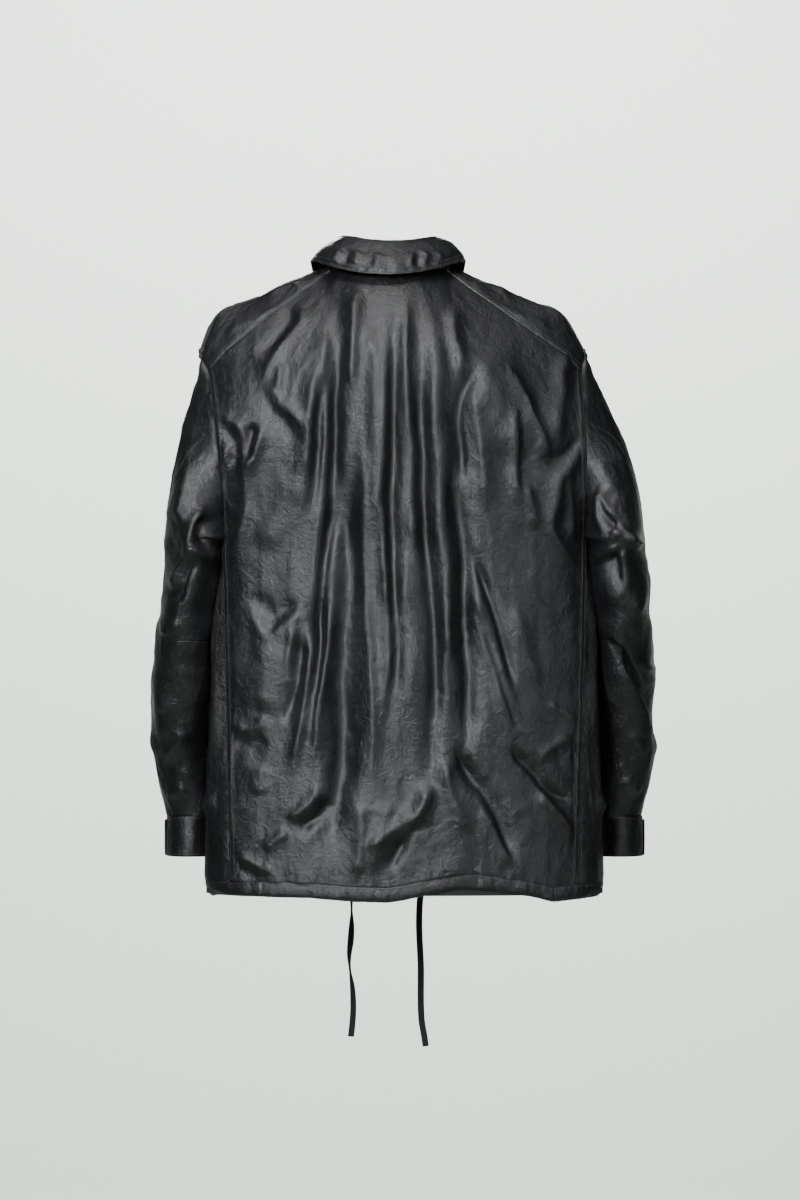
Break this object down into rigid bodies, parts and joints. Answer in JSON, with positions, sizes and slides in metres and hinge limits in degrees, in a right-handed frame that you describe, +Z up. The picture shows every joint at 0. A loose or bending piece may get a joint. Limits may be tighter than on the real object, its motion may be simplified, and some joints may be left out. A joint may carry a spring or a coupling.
{
  "type": "leather jacket",
  "caption": "Hip-length black leather jacket with a turned-down collar, snap front, snap cuffs and a drawstring hem, hung as on a hanger.",
  "frame": {"origin": "middle of the neck opening at the height of the back collar seam, where a hanger's hook comes out", "axes": "+Z up, +Y towards the jacket's back, +X towards the wearer's left"},
  "size_m": [0.616, 0.2443, 0.9888],
  "materials": {
    "leather": "soft, slightly glossy",
    "lining": "satin weave",
    "tape": "matte woven",
    "snap_cap": "satin",
    "snap_metal": "satin",
    "eyelet": "blackened"
  },
  "bodies": {
    "jacket_body": {"back_panel": "leather", "left_side_panel": "leather", "right_side_panel": "leather", "left_front_panel": "leather", "right_front_panel": "leather", "left_shoulder_saddle": "leather", "right_shoulder_saddle": "leather", "left_sleeve_head": "leather", "right_sleeve_head": "leather", "collar_stand": "leather", "under_collar": "leather", "upper_collar": "leather", "hang_loop": "leather", "back_hem_band": "leather", "back_lining": "lining", "hem_drawstring": "tape", "neck_snap_cap": "snap_cap", "neck_snap_stud": "snap_metal"},
    "left_front": {"left_front_flap": "leather", "left_placket_facing": "leather", "left_front_lining": "lining", "left_hem_band": "leather", "left_pocket_welt": "leather", "left_pocket_bag": "lining", "left_snap_caps": "snap_cap", "left_snap_sockets": "snap_metal", "left_eyelet": "eyelet"},
    "right_front": {"right_front_flap": "leather", "right_placket_facing": "leather", "right_front_lining": "lining", "right_hem_band": "leather", "right_pocket_welt": "leather", "right_pocket_bag": "lining", "right_snap_studs": "snap_metal", "right_snap_backs": "snap_metal", "right_eyelet": "eyelet"},
    "left_arm": {"left_upper_sleeve": "leather"},
    "right_arm": {"right_upper_sleeve": "leather"},
    "left_forearm": {"left_lower_sleeve": "leather", "left_cuff": "leather", "left_cuff_stud": "snap_metal"},
    "right_forearm": {"right_lower_sleeve": "leather", "right_cuff": "leather", "right_cuff_stud": "snap_metal"},
    "left_cuff_flap": {"left_cuff_tab": "leather", "left_cuff_snap_cap": "snap_cap"},
    "right_cuff_flap": {"right_cuff_tab": "leather", "right_cuff_snap_cap": "snap_cap"},
    "left_cord": {"left_drawstring": "tape"},
    "right_cord": {"right_drawstring": "tape"}
  },
  "joints": [
    {"name": "left_front_opening", "type": "hinge", "parent": "jacket_body", "child": "left_front", "pos_m": [0.018, -0.107, -0.1], "axis": [-0.242, -0.0394, 0.9695], "range_deg": [0, 60]},
    {"name": "right_front_opening", "type": "hinge", "parent": "jacket_body", "child": "right_front", "pos_m": [-0.018, -0.107, -0.1], "axis": [-0.2422, 0.0073, -0.9702], "range_deg": [0, 21]},
    {"name": "left_shoulder_raise", "type": "hinge", "parent": "jacket_body", "child": "left_arm", "pos_m": [0.242, -0.006, -0.385], "axis": [0, -1, 0], "range_deg": [0, 72]},
    {"name": "left_elbow_bend", "type": "hinge", "parent": "left_arm", "child": "left_forearm", "pos_m": [0.254, -0.062, -0.52], "axis": [-1, 0, 0], "range_deg": [0, 62]},
    {"name": "right_shoulder_raise", "type": "hinge", "parent": "jacket_body", "child": "right_arm", "pos_m": [-0.282, -0.006, -0.385], "axis": [0, 1, 0], "range_deg": [0, 72]},
    {"name": "right_elbow_bend", "type": "hinge", "parent": "right_arm", "child": "right_forearm", "pos_m": [-0.294, -0.062, -0.52], "axis": [-1, 0, 0], "range_deg": [0, 62]},
    {"name": "left_cuff_tab_opening", "type": "hinge", "parent": "left_forearm", "child": "left_cuff_flap", "pos_m": [0.2738, -0.0716, -0.695], "axis": [0, 0, 1], "range_deg": [0, 60]},
    {"name": "left_drawstring_swing", "type": "hinge", "parent": "left_front", "child": "left_cord", "pos_m": [0.0448, -0.11529, -0.752], "axis": [0, 1, 0], "range_deg": [-22, 22]},
    {"name": "right_cuff_tab_opening", "type": "hinge", "parent": "right_forearm", "child": "right_cuff_flap", "pos_m": [-0.3138, -0.0716, -0.695], "axis": [0, 0, -1], "range_deg": [0, 60]},
    {"name": "right_drawstring_swing", "type": "hinge", "parent": "right_front", "child": "right_cord", "pos_m": [-0.0405, -0.11729, -0.752], "axis": [0, 1, 0], "range_deg": [-22, 22]}
  ],
  "couplings": [
    {"joint": "right_front_opening", "follows": "left_front_opening", "ratio": 0.35}
  ]
}
